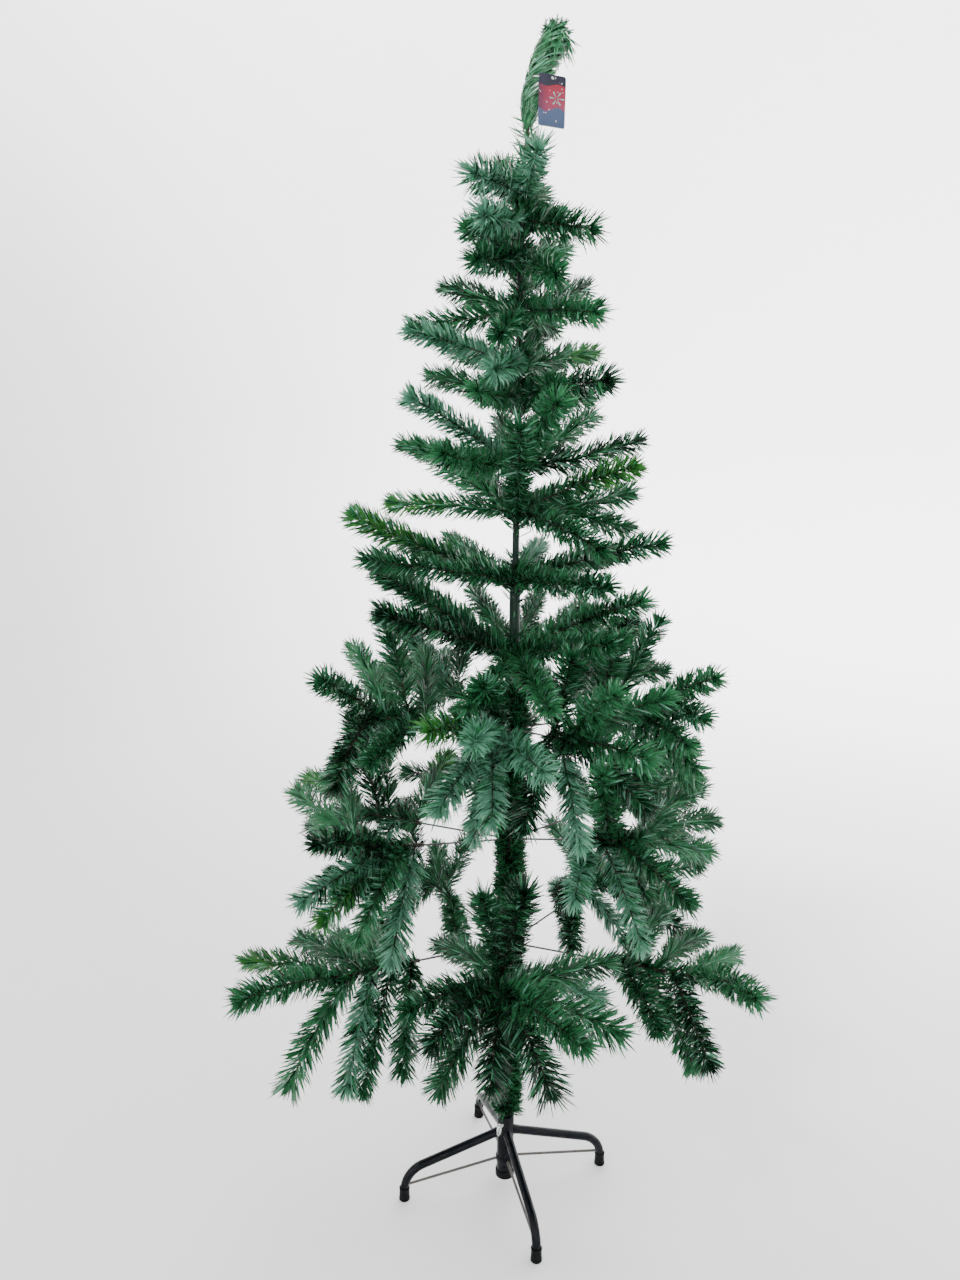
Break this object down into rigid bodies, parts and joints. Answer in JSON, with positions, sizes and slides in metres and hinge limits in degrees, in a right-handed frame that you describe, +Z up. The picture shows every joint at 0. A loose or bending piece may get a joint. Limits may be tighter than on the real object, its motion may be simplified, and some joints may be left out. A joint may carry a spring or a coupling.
{
  "type": "artificial christmas tree",
  "caption": "Artificial christmas tree: needled tips in whorls and hooked boughs on a steel pole, with a leader on top, a hang tag and a folding four-legged metal stand.",
  "frame": {"origin": "On the ground, under the middle of the tree's bounding box; the pole stands a little in front of it and to its right.", "axes": "+Z is up along the pole, -Y is toward the viewer of the picture and +X is to that viewer's right."},
  "size_m": [0.788, 0.8036, 1.7965],
  "materials": {
    "foliage": "matt",
    "tinsel": "matt",
    "rod_steel": "satin",
    "stand_enamel": "gloss",
    "stand_plastic": "matt",
    "screw_steel": "gloss",
    "pole_enamel": "satin",
    "tag_card": "gloss"
  },
  "bodies": {
    "root": {"bough_foliage_high_back_left": "foliage", "bough_foliage_high_back_right": "foliage", "bough_foliage_high_front": "foliage", "bough_foliage_high_front_right": "foliage", "bough_foliage_high_left": "foliage", "bough_foliage_high_right": "foliage", "bough_foliage_low_back_left": "foliage", "bough_foliage_low_back_right": "foliage", "bough_foliage_low_front": "foliage", "bough_foliage_low_left": "foliage", "bough_foliage_low_right": "foliage", "bough_foliage_middle_back": "foliage", "bough_foliage_middle_back_left": "foliage", "bough_foliage_middle_back_right": "foliage", "bough_foliage_middle_left": "foliage", "bough_foliage_middle_right": "foliage", "bough_rod_high_back_left": "rod_steel", "bough_rod_high_back_right": "rod_steel", "bough_rod_high_front": "rod_steel", "bough_rod_high_front_right": "rod_steel", "bough_rod_high_left": "rod_steel", "bough_rod_high_right": "rod_steel", "bough_rod_low_back_left": "rod_steel", "bough_rod_low_back_right": "rod_steel", "bough_rod_low_front": "rod_steel", "bough_rod_low_left": "rod_steel", "bough_rod_low_right": "rod_steel", "bough_rod_middle_back": "rod_steel", "bough_rod_middle_back_left": "rod_steel", "bough_rod_middle_back_right": "rod_steel", "bough_rod_middle_left": "rod_steel", "bough_rod_middle_right": "rod_steel", "foot_cap_back": "stand_plastic", "foot_cap_front": "stand_plastic", "foot_cap_left": "stand_plastic", "foot_cap_right": "stand_plastic", "hang_tag": "tag_card", "leader": "foliage", "leg_back": "stand_enamel", "leg_front": "stand_enamel", "leg_left": "stand_enamel", "leg_right": "stand_enamel", "pole_lower": "pole_enamel", "pole_upper": "pole_enamel", "socket_cap": "stand_plastic", "socket_tube": "stand_enamel", "stay_back": "rod_steel", "stay_front": "rod_steel", "stay_left": "rod_steel", "stay_right": "rod_steel", "thumb_screw": "screw_steel", "tinsel_strand": "tinsel", "whorl_1": "foliage", "whorl_2": "foliage", "whorl_3": "foliage", "whorl_4": "foliage", "whorl_5": "foliage", "whorl_6": "foliage", "whorl_7": "foliage", "whorl_8": "foliage"}
  },
  "joints": []
}
